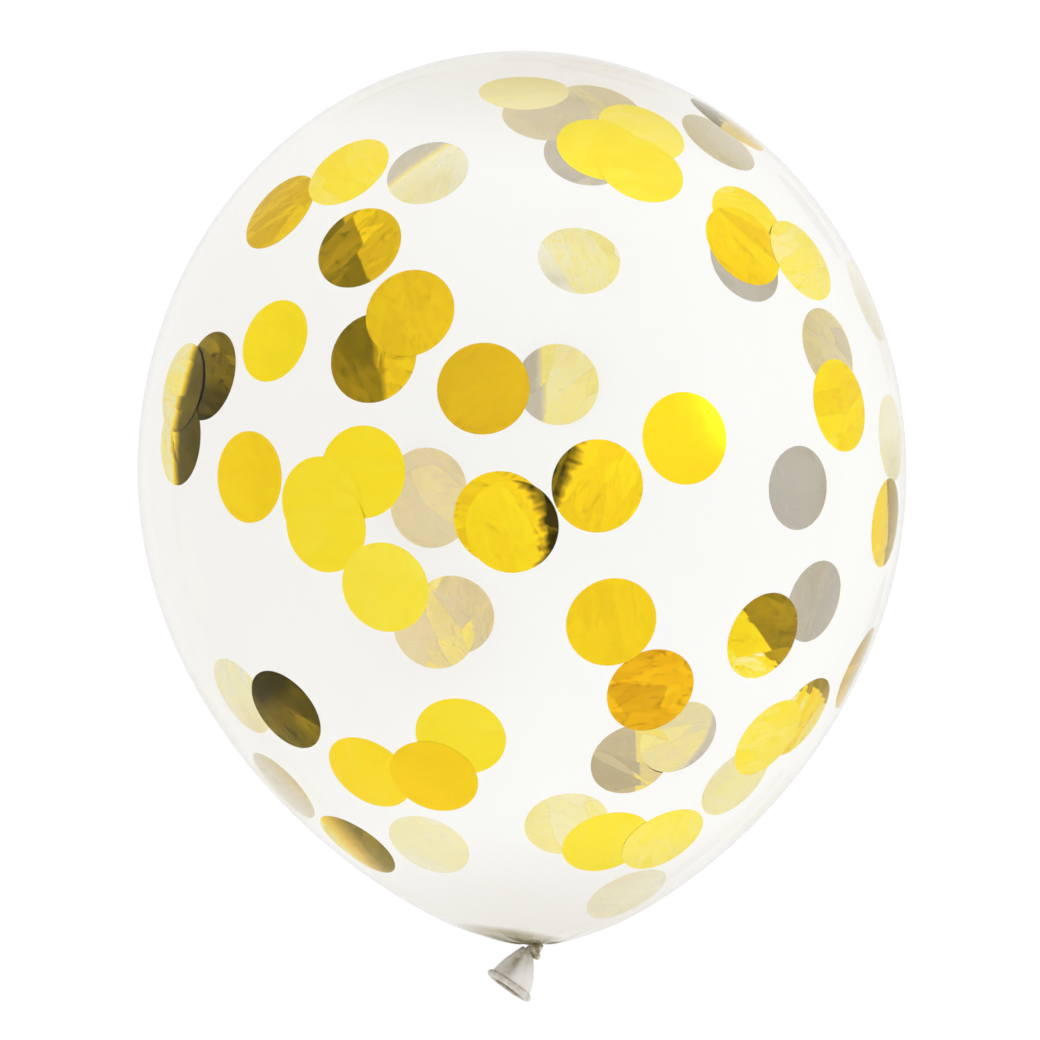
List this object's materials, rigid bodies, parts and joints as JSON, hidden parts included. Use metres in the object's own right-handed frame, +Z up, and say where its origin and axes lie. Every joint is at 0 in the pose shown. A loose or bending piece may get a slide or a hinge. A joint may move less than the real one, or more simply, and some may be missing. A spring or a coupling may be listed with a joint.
{
  "type": "clear confetti balloon",
  "caption": "Clear round latex balloon, air-filled and tied at the neck, lying on its side with round gold foil confetti sealed inside; a party decoration.",
  "frame": {"origin": "middle of the small flat spot under the widest ring, on the surface that the balloon lies on", "axes": "+Y along the balloon from the tied neck to the crown, +Z up from the surface, +X to the right seen from above with the crown away from the viewer"},
  "size_m": [0.28, 0.3463, 0.2788],
  "materials": {
    "clear_latex": "clear stretched latex, glossy, greyer and denser at the tied neck",
    "gold_foil": "creased mirror gold film, paler on its back"
  },
  "bodies": {
    "root": {"balloon_skin": "clear_latex"}
  },
  "joints": []
}
